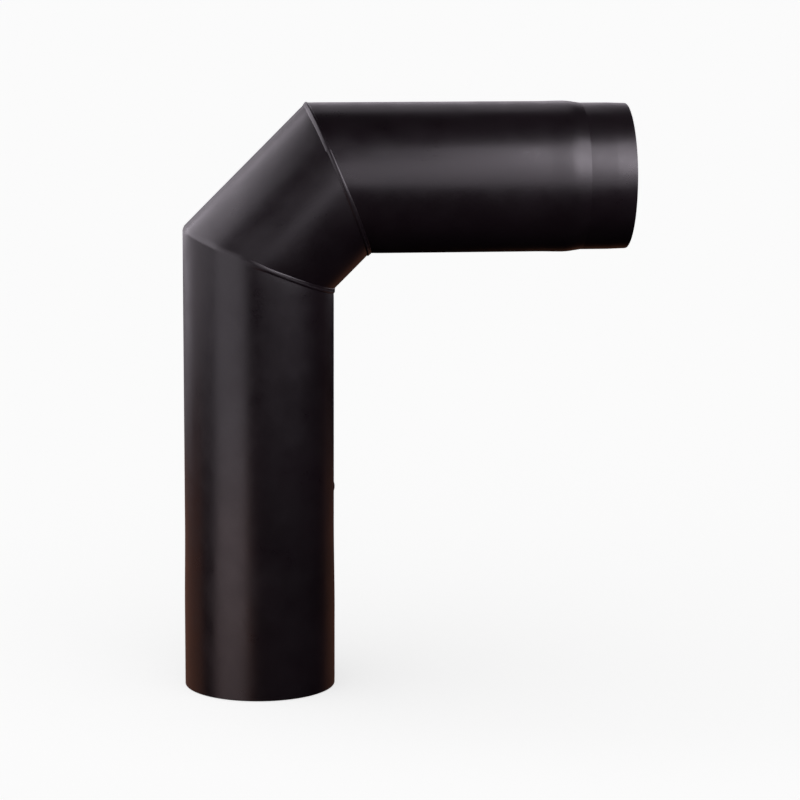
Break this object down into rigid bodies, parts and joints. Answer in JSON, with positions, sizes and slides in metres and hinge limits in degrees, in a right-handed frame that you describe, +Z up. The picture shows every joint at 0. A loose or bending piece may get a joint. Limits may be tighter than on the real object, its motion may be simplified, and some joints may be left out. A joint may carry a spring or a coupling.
{
  "type": "flue elbow",
  "caption": "Right-angle flue elbow of mitred and welded steel pipe sections, with a plain open end on its long leg and a reduced spigot on its shorter leg.",
  "frame": {"origin": "centre of the open mouth at the lower end of the long leg", "axes": "+Z up along the long lower leg, +X along the upper leg towards its spigot, Y across the bend"},
  "size_m": [0.4559, 0.1558, 0.6049],
  "materials": {
    "painted_steel": "matt to satin heat-resistant stove paint, charcoal black",
    "painted_weld": "rippled weld bead under the same stove paint"
  },
  "bodies": {
    "root": {"lower_leg": "painted_steel", "elbow_gore": "painted_steel", "upper_leg": "painted_steel", "lower_mitre_weld": "painted_weld", "upper_mitre_weld": "painted_weld", "lower_leg_seam_weld": "painted_weld", "gore_seam_weld": "painted_weld", "upper_leg_seam_weld": "painted_weld"}
  },
  "joints": []
}
